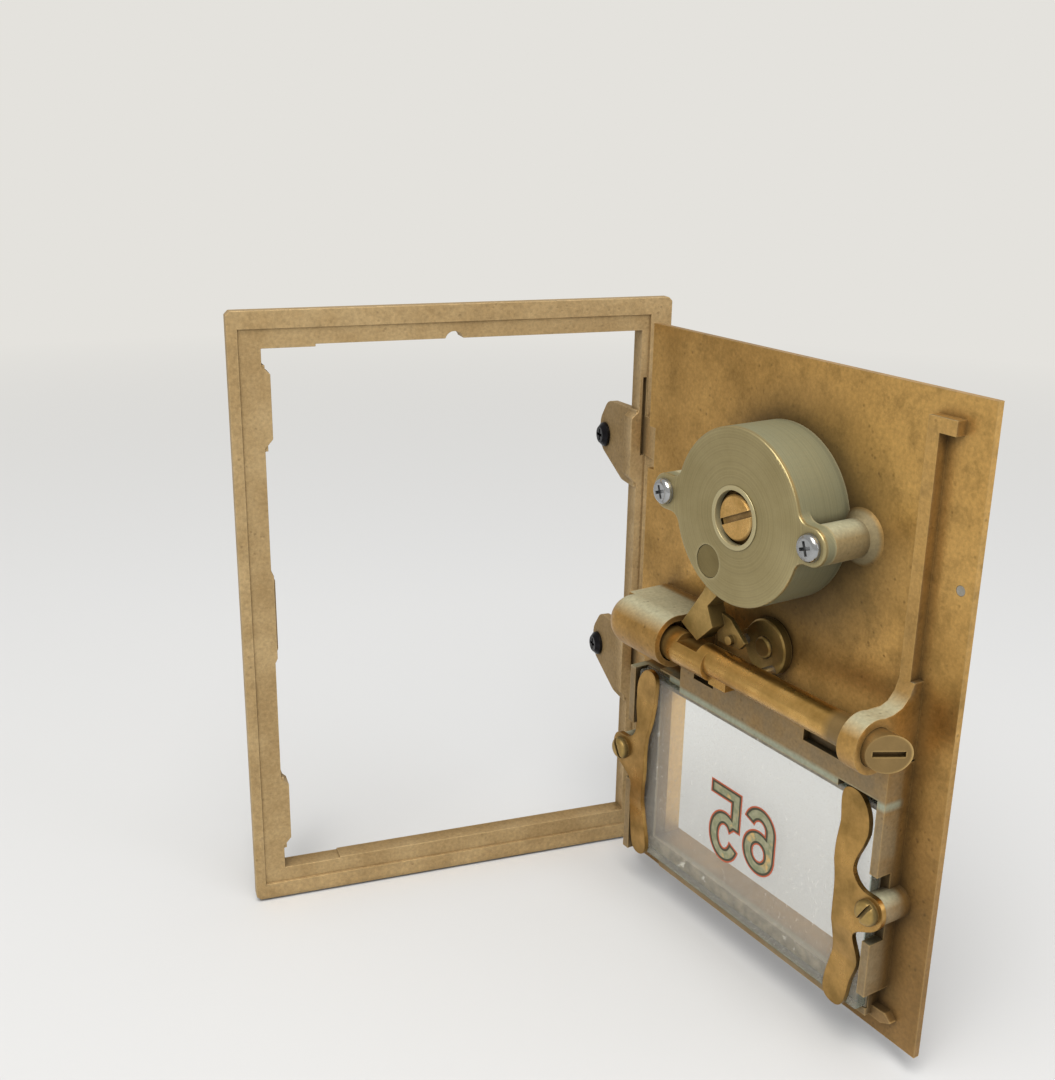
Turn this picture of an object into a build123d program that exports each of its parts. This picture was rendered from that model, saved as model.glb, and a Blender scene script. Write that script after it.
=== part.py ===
from build123d import *
import os
from math import cos, sin, pi, radians, hypot, atan2, degrees

os.makedirs("parts", exist_ok=True)

# Small cast brass letter-box door in its frame. The frame is +Z up with its front towards -Y,
# and its origin is the centre of the doorway in the plane of the flange's back.
# Every piece of the door is laid out as the door stands shut, then swung open about the hinge.
# Sizes along X are measured from the doorway's centre and +X is the hinge side.
# A height is measured rearwards (+Y) from the door plate's rear face.

# ---------------------------------------------------------------- frame sizes
FRAME_W = 92.0
FRAME_H = 127.0
FLANGE_T = 2.5
DOORWAY_W = 79.2
DOORWAY_H = 113.4
THROAT_WALL = 1.8
THROAT_DEPTH = 4.4
SEAT_DEPTH = 0.4
DOOR_GAP = 0.3
EAR_T = 1.8
EAR_REACH = 20.0
EAR_HOLE_R = 1.9
EAR_HOLE_INSET = 3.2
HINGE_PITCH = 51.0
HINGE_EAR_TOP_Z = 30.7
LATCH_EAR_SPACING = 88.0
EAR_LIP = 1.6
EAR_CORNER_R = 4.2
STEP_RISE = 0.3
HEAD_STEP_DROP = 0.5
HEAD_NOTCH_X = -1.3
HEAD_NOTCH_R = 1.9
STRIKE_HALF_H = 9.0
STRIKE_REACH = 1.1
STRIKE_FRONT = 3.3
STRIKE_BACK = 6.6
MOUNT_SCREW_R = 1.6
MOUNT_SCREW_HEAD_R = 2.7
MOUNT_SCREW_LEN = 9.5

# ---------------------------------------------------------------- door plate
PLATE_T = 2.9
HINGE_EDGE = 41.0
FREE_EDGE = 43.6
DOOR_H = 119.4
BEVEL_W = 3.0
EDGE_T = 1.3
OPEN_ANGLE = 103.0

# ---------------------------------------------------------------- hinges
HINGE_X = 43.0
HINGE_STANDOFF = 5.5
KNUCKLE_R = 1.9
PIN_R = 1.0
PIN_FIT = 0.06
PIN_HEAD_R = 1.5
PIN_HEAD_T = 0.6
LUG_H = 8.4
DOOR_KNUCKLE_H = 8.0
KNUCKLE_GAP = 0.2
HINGE_BASE_TOP_Z = 29.9
NOTCH_DEPTH = 2.0
GROOVE_W = 0.8
GROOVE_DEPTH = 1.6

# ---------------------------------------------------------------- lock, on the upper half
LOCK_Z = 31.4
CAP_R = 16.5
CAP_H = 12.0
CAP_WALL = 1.2
CAP_FIT = 0.05
CAP_HOLE_R = 5.5
EYELET_W = 0.9
EYELET_PROUD = 0.25
CAP_SCREW_X = (-19.2, 20.0)
CAP_LUG_R = 3.5
CAP_LUG_T = 2.7
CAP_LUG_BLEND_R = 2.6
CAP_EDGE_R = 0.4
CAP_BOSS_FLARE_R = 5.2
CAP_BOSS_FLARE_H = 1.5
CAP_SCREW_BITE = 3.5
CAP_SCREW_HEAD_R = 2.5
CAP_SCREW_HEAD_H = 1.3
CAP_SCREW_R = 1.4
PLUG_R = 3.2
PLUG_X = 6.4
PLUG_DROP = 10.1
SPINDLE_R = 2.4
RUN_FIT = 0.05
POST_R = 3.4
POST_FLANGE_R = 5.0
POST_FLANGE_T = 0.7
WHEEL_R = 12.0
WHEEL_T = 1.6
WHEEL_PITCH = 2.4
WHEEL_COUNT = 3
WHEEL_SIDE_GAP = 0.2
SPACER_R = 5.0
GATE_W = 4.2
GATE_DEPTH = 3.4
PEG_R = 0.6
PEG_ORBIT = 9.0
PEG_H = 0.5
SPINDLE_HEAD_R = 4.3
SPINDLE_SLOT_W = 1.2

# ---------------------------------------------------------------- dial, on the front
DIAL_RING_R = 16.5
DIAL_RING_BORE_R = 10.3
DIAL_RING_T = 1.6
DIAL_KNOB_R = 9.6
DIAL_KNOB_H = 9.0
DIAL_KNOB_GAP = 0.4
DIAL_FLUTES = 24
DIAL_FLUTE_R = 0.9
DIAL_MARKS = 10
MARK_RELIEF = 0.15

# ---------------------------------------------------------------- latch bolt
BOLT_Z = 1.25
BOLT_HEIGHT = 10.0
BOLT_R = 2.9
BOLT_HEAD_R = 3.5
BOLT_HEAD_X = -31.2
BOLT_BEVEL = 30.0
BOLT_FIT = 0.07
BOLT_TIP_X = -41.0
BOLT_TRAVEL = 5.0
BOLT_TAIL_X = 22.0
GUIDE_R = 4.13
GUIDE_L = 2.5
SHOE_R = 3.4
SHOE_DROP = 0.6
SHOE_END_X = 5.0
STOP_LUG_L = 4.8
STOP_LUG_Z = (-3.1, 0.0)
STOP_LUG_HEIGHT = (7.8, 11.2)
TIP_SLOT_W = 1.0
TIP_SLOT_L = 5.6
TIP_SLOT_DEPTH = 0.9
BARREL_R = 5.4
BARREL_MOUTH_X = 16.5
BARREL_END_X = 29.4
BARREL_FLOOR_X = 31.5
BOSS_R = 5.0
BOSS_X = (-36.0, -32.0)
BOLT_SEAT = (-2.6, 3.4)
BOLT_SEAT_DEPTH = 1.3
SPRING_WIRE_R = 0.3
SPRING_R = 3.0
SPRING_COILS = 4.0

# ---------------------------------------------------------------- latch knob and cam
CAM_Z = 4.3
CAM_R = 5.5
CAM_T = 1.9
CAM_GAP = 0.3
CAM_PIN_R = 1.0
CAM_PIN_ORBIT = 4.6
CAM_PIN_TOP = 9.0
CAM_SLOT_GAP = 0.35
STOP_PIN_ORBIT = 5.0
STOP_LOBE_R = 1.9
STOP_PIN_TOP = 5.5
KNOB_TURN = 66.0
LATCH_SPINDLE_R = 2.2
ROSETTE_R = 8.2
ROSETTE_T = 1.2
LATCH_KNOB_R = 6.6
LATCH_KNOB_H = 8.0

# ---------------------------------------------------------------- fence lever
LEVER_PIVOT_X = 5.3
LEVER_PIVOT_Z = 17.9
LEVER_PIN_R = 1.1
LEVER_EYE_R = 1.9
NOSE_ANGLE = -48.0
NOSE_INNER_R = 13.3
LEVER_HEIGHT = (6.3, 10.4)
LEVER_SIDE_X = (-1.5, 13.5)
LEVER_SIDE_RISE = 2.8
LEVER_SWING = 12.0
FENCE_HEIGHT = 1.3
TONGUE_T = 1.0
TONGUE_STUD_R = 0.9
LEVER_TIP_X = 10.0
LEVER_TIP_DROP = 0.35
TAIL_END_ANGLE = -66.0
FENCE_HALF_ANGLE = 4.0
# outlines from the lever's pivot; the dog's tip lies between its two parts
DOG_OUTER = ((1.6, 0.4), (3.7, -3.6), (9.6, -11.9))
DOG_INNER = ((0.5, -10.0), (2.3, -6.2), (-1.2, -2.2))
TONGUE = ((2.9, -10.9), (1.7, -7.9), (-1.0, -8.4), (-5.4, -11.9), (-4.0, -13.5), (2.1, -13.9))
TONGUE_STUD = (-1.7, -12.3)

# ---------------------------------------------------------------- window, on the lower half
PANE_W = 68.0
PANE_TOP = -12.2
PANE_BOTTOM = -54.0
PANE_FIT = 0.2
SEAT_HINGE_SIDE = 4.8
SEAT_FREE_SIDE = 1.8
SEAT_HEAD = 2.5
SEAT_FOOT = 3.0
PANE_T = 2.0
SEAL_T = 0.4
SEAT_HEIGHT = 2.6
RIM_T = 1.8
SILL_T = 1.5
RIM_END_RISE = 4.6
RIM_HEIGHT = 6.0
SILL_HEIGHT = 4.4
RAIL_TOP = -4.0
RAIL_HEIGHT = 6.0
RAIL_POCKET_X = ((-26.3, -15.7), (9.4, 15.4))
RAIL_POCKET_Z = (-7.2, -5.0)
RAIL_POCKET_FLOOR = 4.4
RIM_GAP = (6.2, -7.4)
CLIP_SCREW_OUTSET = 2.0
CLIP_SCREW_RISE = 1.9
CLIP_BOSS_R = 3.0
CLIP_BOSS_H = 6.3
CLIP_T = 1.0
CLIP_OVERHANG = 0.9
CLIP_POCKET_REACH = 11.0
CLIP_LIFT = 0.02
CLIP_FOOT_INSET = 1.2
CLIP_SCREW_R = 1.3
CLIP_OUTSET = 0.3
CLIP_NARROWING = 0.9
# the leaf's edge as steps inwards from its screw, and up from its top end, its screw or its foot
CLIP_OUTER_TOP = ((5.0, -0.4), (3.0, -4.5), (3.6, -9.5))
CLIP_EYE_EDGE = ((4.4, 6.2), (1.6, 3.3), (-1.9, 2.9), (-3.2, 0.0), (-1.5, -3.2), (3.0, -6.4))
CLIP_OUTER_FOOT = ((2.4, 12.7), (2.6, 6.2), (5.0, 0.0))
CLIP_INNER_FOOT = ((8.0, 0.6), (8.6, 4.0), (7.0, 11.7))
CLIP_INNER_SIDE = ((8.3, -5.0), (8.5, 3.0), (9.4, 9.0), (9.5, 14.0))
CLIP_INNER_TOP = (8.8, 0.0)
CLIP_BEND_Z = (6.0, 13.0)
CLIP_SCREW_HEAD_R = 2.4
CLIP_SCREW_HEAD_H = 1.6
FIVE_H = 16.2
SIX_H = 14.0
FIGURE_W = 8.6
FIGURE_PITCH = 10.0
STROKE_W = 2.5
FIVE_BOWL_H = 10.6
SIX_BOWL_H = 9.0
NUMBER_X = -0.7
NUMBER_TOP = -26.7
NUMBER_T = 0.1
BEAD_W = 2.2
BEAD_H = 1.2

# ---------------------------------------------------------------- rib near the free edge
RIB_X = -32.6
RIB_W = 2.4
RIB_HEIGHT = 2.2
RIB_TOP = 55.8
ARM_REACH = 5.7
ARM_H = 2.5
CORNER_LUG_H = 1.6
# corner lug, from the rib's face and up from the plate's lower edge
CORNER_LUG = ((0.6, 3.8), (-1.0, 5.8), (-4.8, 6.1), (-6.3, 4.8), (-4.0, 3.6))
RIVET_X = -41.0
RIVET_Z = 28.5
RIVET_R = 0.9
EMBED = 0.5

FRONT = -FLANGE_T
REAR = FRONT + SEAT_DEPTH - DOOR_GAP
FACE = REAR - PLATE_T
HINGE_EAR_Z = (HINGE_EAR_TOP_Z, HINGE_EAR_TOP_Z - HINGE_PITCH)
HINGE_BASE_Z = (HINGE_BASE_TOP_Z, HINGE_BASE_TOP_Z - HINGE_PITCH)
LATCH_EAR_Z = (LATCH_EAR_SPACING / 2, -LATCH_EAR_SPACING / 2)
HINGE_Y = FRONT - HINGE_STANDOFF
WINDOW_RIGHT = PANE_W / 2 - SEAT_HINGE_SIDE
WINDOW_LEFT = SEAT_FREE_SIDE - PANE_W / 2
WINDOW_TOP = PANE_TOP - SEAT_HEAD
WINDOW_BOTTOM = PANE_BOTTOM + SEAT_FOOT
RIM_END = PANE_BOTTOM + RIM_END_RISE
CLIP_SCREW_X = PANE_W / 2 + CLIP_SCREW_OUTSET
CLIP_SCREW_Z = (PANE_TOP + PANE_BOTTOM) / 2 + CLIP_SCREW_RISE
CLIP_TOP = PANE_TOP + CLIP_OVERHANG
CLIP_BOTTOM = PANE_BOTTOM - CLIP_OVERHANG
PANE_HEIGHT = SEAT_HEIGHT + SEAL_T
GLASS_BACK = PANE_HEIGHT + PANE_T
CAM_TOP = CAM_GAP + CAM_T


# ================================================================ helpers
def at(height):
    """Y of a height above the plate's rear face, door shut."""
    return REAR + height


def block(x0, x1, y0, y1, z0, z1):
    """Box between two corners."""
    body = Box(abs(x1 - x0), abs(y1 - y0), abs(z1 - z0))
    return Pos((x0 + x1) / 2, (y0 + y1) / 2, (z0 + z1) / 2) * body


def rod_y(x, z, r, y0, y1):
    """Cylinder along Y."""
    return Pos(x, (y0 + y1) / 2, z) * Rot(X=90) * Cylinder(r, abs(y1 - y0))


def rod_x(y, z, r, x0, x1):
    """Cylinder along X."""
    return Pos((x0 + x1) / 2, y, z) * Rot(Y=90) * Cylinder(r, abs(x1 - x0))


def rod_z(x, y, r, z0, z1):
    """Cylinder along Z."""
    return Pos(x, y, (z0 + z1) / 2) * Cylinder(r, abs(z1 - z0))


def slab_y(outline, y0, y1):
    """Face drawn as (x, z), thickened from y0 to y1."""
    return Pos(0, y1, 0) * Rot(X=90) * extrude(outline, y1 - y0)


def slab_x(outline, x0, x1):
    """Face drawn as (y, z), thickened from x0 to x1."""
    return Pos(x0, 0, 0) * Rot(X=90) * Rot(Y=90) * extrude(outline, x1 - x0)


def polygon(*points):
    """Flat face through the points."""
    return make_face(Polyline(*points, close=True))


def swung(body):
    """A door piece moved from the shut door to the open pose."""
    axis = Pos(HINGE_X, HINGE_Y, 0)
    return axis * Rot(Z=OPEN_ANGLE) * axis.inverse() * body


def save(name, body):
    """Write one named piece."""
    body.label = name
    export_step(body, "parts/" + name + ".step")


def group(bodies):
    """Identical fasteners kept as separate solids in one node."""
    return Compound(children=list(bodies))


# ================================================================ frame
def ear(side, z):
    """Screw ear that runs rearwards from the throat wall, with its thick lip at the doorway."""
    inner = DOORWAY_W / 2 - 0.6
    root = THROAT_DEPTH + FRONT
    tip = EAR_REACH + FRONT
    hole_y = tip - EAR_HOLE_INSET
    outline = polygon((FRONT + 0.6, z + 9.0), (tip - 4.0, z + 8.0), (tip, z + 3.0), (tip, z - 3.0),
                      (root + 2.5, z - 8.0), (FRONT + 0.6, z - 8.0))
    corners = [corner for corner in outline.vertices() if corner.X > root + 1]
    plate = slab_x(fillet(corners, EAR_CORNER_R), inner, inner + EAR_T)
    lip = polygon((DOORWAY_W / 2 + EMBED, z + 9.2), (DOORWAY_W / 2 - EAR_LIP, z + 7.2),
                  (DOORWAY_W / 2 - EAR_LIP, z - 5.6), (DOORWAY_W / 2 + EMBED, z - 8.0))
    body = plate + slab_y(lip, FRONT + SEAT_DEPTH, root)
    body -= rod_x(hole_y, z, EAR_HOLE_R, inner - 5, inner + 5)
    return body if side > 0 else mirror(body, Plane.YZ)


def strike():
    """Keeper on the latch side: the bolt hooks behind its rear face."""
    edge = -DOORWAY_W / 2
    reach = edge + STRIKE_REACH
    face = polygon((edge - 1, BOLT_Z + STRIKE_HALF_H + 2), (reach, BOLT_Z + STRIKE_HALF_H - 2),
                   (reach, BOLT_Z - STRIKE_HALF_H + 1), (edge - 1, BOLT_Z - STRIKE_HALF_H - 4))
    skirt = polygon((edge - 1, BOLT_Z + STRIKE_HALF_H + 3), (edge + 0.5, BOLT_Z + STRIKE_HALF_H),
                    (edge + 0.5, BOLT_Z - STRIKE_HALF_H), (edge - 1, BOLT_Z - STRIKE_HALF_H - 3))
    keeper = slab_y(face, FRONT + STRIKE_FRONT, FRONT + STRIKE_BACK)
    return keeper + slab_y(skirt, FRONT + SEAT_DEPTH, FRONT + STRIKE_BACK)


def frame_lug(base):
    """Fixed hinge knuckle standing on the front of the flange."""
    left = HINGE_X - KNUCKLE_R
    right = HINGE_X + KNUCKLE_R
    body = block(left, right, HINGE_Y, FRONT + 1.0, base, base + LUG_H)
    body += rod_z(HINGE_X, HINGE_Y, KNUCKLE_R, base, base + LUG_H)
    return body - rod_z(HINGE_X, HINGE_Y, PIN_R, base - 1, base + LUG_H + 1)


def door_frame():
    """Flange, shallow seat for the door, throat, ears, strike and hinge lugs, cast as one."""
    half_w = FRAME_W / 2
    half_h = FRAME_H / 2
    body = block(-half_w, half_w, FRONT, 0, -half_h, half_h)
    body = chamfer(body.edges().filter_by(Axis.Y), 0.8)
    wall = THROAT_WALL
    throat_w = DOORWAY_W / 2 + wall
    throat_h = DOORWAY_H / 2 + wall
    body += block(-throat_w, throat_w, FRONT + 0.5, FRONT + THROAT_DEPTH, -throat_h, throat_h)
    body -= block(-DOORWAY_W / 2, DOORWAY_W / 2, FRONT - 1, FRONT + THROAT_DEPTH + 1,
                  -DOORWAY_H / 2, DOORWAY_H / 2)
    seat = DOOR_H / 2 + DOOR_GAP
    body -= block(-FREE_EDGE - DOOR_GAP, HINGE_EDGE + DOOR_GAP, FRONT - 1, FRONT + SEAT_DEPTH,
                  -seat, seat)
    # raised step along the bottom of the doorway and the drain notch in its top
    body += block(-DOORWAY_W / 2 + 12, DOORWAY_W / 2, FRONT + SEAT_DEPTH, FRONT + THROAT_DEPTH,
                  -DOORWAY_H / 2 - EMBED, -DOORWAY_H / 2 + STEP_RISE)
    body += block(-DOORWAY_W / 2, -DOORWAY_W / 2 + 10.5, FRONT + SEAT_DEPTH, FRONT + THROAT_DEPTH,
                  DOORWAY_H / 2 + EMBED, DOORWAY_H / 2 - HEAD_STEP_DROP)
    body -= rod_y(HEAD_NOTCH_X, DOORWAY_H / 2 - HEAD_STEP_DROP, HEAD_NOTCH_R, FRONT - 1,
                  FRONT + THROAT_DEPTH + 1)
    for z in HINGE_EAR_Z:
        body += ear(1, z)
    for z in LATCH_EAR_Z:
        body += ear(-1, z)
    body += strike()
    for base in HINGE_BASE_Z:
        body -= block(HINGE_X - KNUCKLE_R - GROOVE_W, HINGE_X - KNUCKLE_R, FRONT - 1,
                      FRONT + GROOVE_DEPTH, base - KNUCKLE_GAP,
                      base + LUG_H + DOOR_KNUCKLE_H + 2 * KNUCKLE_GAP)
        body += frame_lug(base)
    return body


def mounting_screw(z):
    """Cross-recessed screw through a hinge-side ear, its head inside the doorway."""
    y = EAR_REACH + FRONT - EAR_HOLE_INSET
    seat = DOORWAY_W / 2 - 0.6
    head = rod_x(y, z, MOUNT_SCREW_HEAD_R, seat - 1.5, seat)
    head = chamfer(head.faces().sort_by(Axis.X)[0].edges(), 0.9)
    shank = rod_x(y, z, MOUNT_SCREW_R, seat - 0.5, seat + MOUNT_SCREW_LEN - 2.5)
    point = Pos(seat + MOUNT_SCREW_LEN - 1.25, y, z) * Rot(Y=90) * Cone(MOUNT_SCREW_R, 0.2, 2.5)
    body = head + shank + point
    for turn in (0, 90):
        cross = Pos(seat - 1.5, y, z) * Rot(X=turn) * Box(1.8, 0.6, 2.6)
        body -= cross
    return body


def hinge_pin(base):
    """Pin pressed in the frame lug, the door knuckle turns on it."""
    top = base + LUG_H + DOOR_KNUCKLE_H + 2 * KNUCKLE_GAP
    body = rod_z(HINGE_X, HINGE_Y, PIN_R, base - PIN_HEAD_T, top + PIN_HEAD_T)
    body += rod_z(HINGE_X, HINGE_Y, PIN_HEAD_R, base - PIN_HEAD_T, base)
    return body + rod_z(HINGE_X, HINGE_Y, PIN_HEAD_R, top, top + PIN_HEAD_T)


# ================================================================ door casting
def plate():
    """Plate with bevelled front edges, notched round the frame's hinge lugs."""
    top = DOOR_H / 2
    edge_y = REAR - EDGE_T
    across = polygon((-FREE_EDGE, REAR), (-FREE_EDGE, edge_y), (-FREE_EDGE + BEVEL_W, FACE),
                     (HINGE_EDGE - BEVEL_W, FACE), (HINGE_EDGE, edge_y), (HINGE_EDGE, REAR))
    upright = polygon((REAR, -top), (edge_y, -top), (FACE, -top + BEVEL_W), (FACE, top - BEVEL_W),
                      (edge_y, top), (REAR, top))
    body = Pos(0, 0, -top) * extrude(across, DOOR_H)
    body &= slab_x(upright, -FREE_EDGE - 1, HINGE_EDGE + 1)
    for base in HINGE_BASE_Z:
        body -= block(HINGE_EDGE - NOTCH_DEPTH, HINGE_EDGE + 1, FACE - 1, REAR + 1,
                      base - 2 * KNUCKLE_GAP, base + LUG_H + KNUCKLE_GAP / 2)
    return body


def door_knuckle(base):
    """Moving hinge knuckle, joined to the plate's front by a strap."""
    z0 = base + LUG_H + KNUCKLE_GAP
    z1 = z0 + DOOR_KNUCKLE_H
    strap = polygon((HINGE_EDGE - 5.5, FACE + 0.6), (HINGE_EDGE - 2.0, HINGE_Y - 0.6),
                    (HINGE_X - 0.9, HINGE_Y - 1.6), (HINGE_X + 1.2, HINGE_Y + 1.4),
                    (HINGE_EDGE, REAR - 0.6), (HINGE_EDGE - 5.5, REAR - 0.6))
    body = Pos(0, 0, z0) * extrude(strap, z1 - z0)
    body += rod_z(HINGE_X, HINGE_Y, KNUCKLE_R, z0, z1)
    return body - rod_z(HINGE_X, HINGE_Y, PIN_R + PIN_FIT, z0 - 1, z1 + 1)


def bolt_barrel():
    """Closed-end barrel that holds the spring and guides the bolt's tail."""
    y = at(BOLT_HEIGHT)
    body = rod_x(y, BOLT_Z, BARREL_R, BARREL_MOUTH_X, BARREL_END_X)
    body += Pos(BARREL_END_X, y, BOLT_Z) * Sphere(BARREL_R)
    body += block(BARREL_MOUTH_X, BARREL_END_X + 3.0, REAR - EMBED, y, BOLT_Z - 4.6,
                  BOLT_Z + BARREL_R - 0.1)
    bore_r = GUIDE_R + BOLT_FIT
    return body - rod_x(y, BOLT_Z, bore_r, BARREL_MOUTH_X - 1, BARREL_FLOOR_X)


def bolt_boss():
    """Eye on the free side that the bolt's head slides in, with its gusset to the rib."""
    y = at(BOLT_HEIGHT)
    x0, x1 = BOSS_X
    body = rod_x(y, BOLT_Z, BOSS_R, x0, x1)
    body += block(x0, x1, REAR - EMBED, y, BOLT_Z - BOSS_R + 0.2, BOLT_Z + BOSS_R - 0.2)
    gusset = polygon((REAR - EMBED, BOLT_Z), (y, BOLT_Z), (y, BOLT_Z + 4.6), (at(6.4), BOLT_Z + 5.0),
                     (at(4.4), BOLT_Z + 5.8), (at(3.0), BOLT_Z + 7.4), (at(RIB_HEIGHT), BOLT_Z + 9.6),
                     (REAR - EMBED, BOLT_Z + 9.6))
    body += slab_x(gusset, x0, RIB_X)
    return body - rod_x(y, BOLT_Z, BOLT_HEAD_R + BOLT_FIT, x0 - 1, x1 + 1)


def window_surround():
    """Seat, rims and top rail that hold the pane."""
    half = PANE_W / 2 + PANE_FIT
    outer = half + RIM_T
    foot = REAR - EMBED
    seat_bottom = PANE_BOTTOM - PANE_FIT
    sill_bottom = seat_bottom - SILL_T
    seat_top = PANE_TOP + PANE_FIT
    rail_end = BARREL_MOUTH_X + 3
    body = block(-outer, outer, foot, at(SEAT_HEIGHT), sill_bottom, seat_top)
    for side in (-1, 1):
        body += block(side * half, side * outer, foot, at(RIM_HEIGHT), sill_bottom, seat_top)
    body += block(-outer, outer, foot, at(SILL_HEIGHT), sill_bottom, seat_bottom)
    body += block(-outer, rail_end, foot, at(RAIL_HEIGHT), seat_top, RAIL_TOP)
    body += block(rail_end, half - 6, foot, at(SEAT_HEIGHT + 1.6), seat_top, seat_top + 1.6)
    # lightening pockets in the rail beside the bolt
    for x0, x1 in RAIL_POCKET_X:
        body -= block(x0, x1, at(RAIL_POCKET_FLOOR), at(RAIL_HEIGHT + 1), *RAIL_POCKET_Z)
    # gaps in the side rims round the clip bosses, and room in the rails for the clips' ends
    for side in (-1, 1):
        inner = side * (CLIP_SCREW_X - CLIP_POCKET_REACH)
        body -= block(inner, side * half, at(PANE_HEIGHT), at(RAIL_HEIGHT + 1), seat_top - 1,
                      CLIP_TOP + 0.6)
        body -= block(inner, side * half, at(PANE_HEIGHT), at(RAIL_HEIGHT + 1), seat_bottom + 1,
                      sill_bottom - 1)
        body -= block(side * (half - 1), side * (outer + 1), at(SEAT_HEIGHT), at(RIM_HEIGHT + 1),
                      CLIP_SCREW_Z + RIM_GAP[0], CLIP_SCREW_Z + RIM_GAP[1])
    # the free side's lower corner is left bare
    return body - block(-outer - 1, -half, REAR, at(RIM_HEIGHT + 1), sill_bottom - 1, RIM_END)


def door_plate():
    """The whole door casting."""
    body = plate()
    for base in HINGE_BASE_Z:
        body += door_knuckle(base)
    body += window_surround()
    body += bolt_barrel()
    body += bolt_boss()
    body += block(RIB_X, RIB_X - RIB_W, REAR - EMBED, at(RIB_HEIGHT), BOLT_Z, RIB_TOP)
    body += block(RIB_X, RIB_X - ARM_REACH, REAR - EMBED, at(RIB_HEIGHT), RIB_TOP - ARM_H, RIB_TOP)
    body += block(RIB_X - 1.0, RIB_X - RIB_W, REAR - EMBED, at(RIB_HEIGHT), PANE_TOP, BOLT_Z)
    corner_lug = polygon(*[(RIB_X + x, z - DOOR_H / 2) for x, z in CORNER_LUG])
    body += slab_y(corner_lug, REAR - EMBED, at(CORNER_LUG_H))
    boss_h = CAP_H - CAP_LUG_T
    for x in CAP_SCREW_X:
        flare = Cone(CAP_LUG_R, CAP_BOSS_FLARE_R, CAP_BOSS_FLARE_H)
        boss = Pos(x, at(CAP_BOSS_FLARE_H / 2), LOCK_Z) * Rot(X=90) * flare
        boss += rod_y(x, LOCK_Z, CAP_LUG_R, REAR - EMBED, at(boss_h))
        body += boss - rod_y(0, LOCK_Z, CAP_R + CAP_FIT, REAR - 1, at(CAP_H))
        body -= rod_y(x, LOCK_Z, CAP_SCREW_R, at(boss_h - 6), at(boss_h + 1))
    for side in (-1, 1):
        body += rod_y(side * CLIP_SCREW_X, CLIP_SCREW_Z, CLIP_BOSS_R, REAR - EMBED, at(CLIP_BOSS_H))
        body -= rod_y(side * CLIP_SCREW_X, CLIP_SCREW_Z, CLIP_SCREW_R, at(0.5), at(CLIP_BOSS_H + 1))
    bead = block(WINDOW_LEFT - BEAD_W, WINDOW_RIGHT + BEAD_W, FACE - BEAD_H, REAR - EMBED,
                 WINDOW_BOTTOM - BEAD_W, WINDOW_TOP + BEAD_W)
    body += chamfer(bead.faces().sort_by(Axis.Y)[0].edges(), BEAD_H * 0.6)
    body -= block(WINDOW_LEFT, WINDOW_RIGHT, FACE - BEAD_H - 1, at(SEAT_HEIGHT + 1),
                  WINDOW_BOTTOM, WINDOW_TOP)
    # room for the pane where rail, barrel foot and bosses come near it
    body -= block(-PANE_W / 2 - PANE_FIT, PANE_W / 2 + PANE_FIT, at(SEAT_HEIGHT), at(CLIP_BOSS_H + 1),
                  PANE_BOTTOM - PANE_FIT, PANE_TOP + PANE_FIT)
    body -= rod_y(0, LOCK_Z, POST_R, FACE - 1, REAR + 1)
    body -= rod_y(0, CAM_Z, LATCH_SPINDLE_R + RUN_FIT, FACE - 1, REAR + 1)
    body -= rod_y(LEVER_PIVOT_X, LEVER_PIVOT_Z, LEVER_PIN_R, REAR - 1.5, REAR + 1)
    body -= rod_y(RIVET_X, RIVET_Z, RIVET_R, FACE - 1, REAR + 1)
    return body


# ================================================================ lock case
def lever_side(y0, y1):
    """Opening in the cap's wall that the fence lever passes through."""
    x0, x1 = LEVER_SIDE_X
    return block(x0, x1, y0, y1, LOCK_Z - CAP_R - 1, LEVER_PIVOT_Z + LEVER_SIDE_RISE)


def cap_lugs():
    """Outline of the cap's rim with a screw lug on each side."""
    outline = Circle(CAP_R)
    for x in CAP_SCREW_X:
        outline += Pos(x / 2, 0) * Rectangle(abs(x), 2 * CAP_LUG_R) + Pos(x, 0) * Circle(CAP_LUG_R)
    corners = [corner for corner in outline.vertices() if hypot(corner.X, corner.Y) < CAP_R + 0.5]
    return fillet(corners, CAP_LUG_BLEND_R)


def lock_cap():
    """Round cover over the wheels with two screw lugs."""
    roof = at(CAP_H)
    lid = slab_y(cap_lugs(), roof - CAP_LUG_T, roof)
    lid = fillet(lid.faces().sort_by(Axis.Y)[-1].edges(), CAP_EDGE_R)
    body = Pos(0, 0, LOCK_Z) * lid + rod_y(0, LOCK_Z, CAP_R, REAR, roof - CAP_LUG_T)
    body -= rod_y(0, LOCK_Z, CAP_R - CAP_WALL, REAR - 1, roof - CAP_WALL)
    body -= rod_y(0, LOCK_Z, CAP_HOLE_R, REAR, roof + 1)
    body -= rod_y(PLUG_X, LOCK_Z - PLUG_DROP, PLUG_R, REAR, roof + 1)
    for x in CAP_SCREW_X:
        body -= rod_y(x, LOCK_Z, CAP_SCREW_R, REAR, roof + 1)
    return body - lever_side(REAR - 1, roof - CAP_WALL)


def cap_eyelet():
    """Raised ring round the cap's centre hole."""
    roof = at(CAP_H)
    body = rod_y(0, LOCK_Z, CAP_HOLE_R, roof - CAP_WALL, roof + EYELET_PROUD)
    body += rod_y(0, LOCK_Z, CAP_HOLE_R + EYELET_W / 2, roof, roof + EYELET_PROUD)
    return body - rod_y(0, LOCK_Z, CAP_HOLE_R - EYELET_W / 2, REAR, roof + 1)


def cap_plug():
    """Disc that closes the changing hole."""
    roof = at(CAP_H)
    return rod_y(PLUG_X, LOCK_Z - PLUG_DROP, PLUG_R, roof - CAP_WALL, roof - 0.15)


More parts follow.
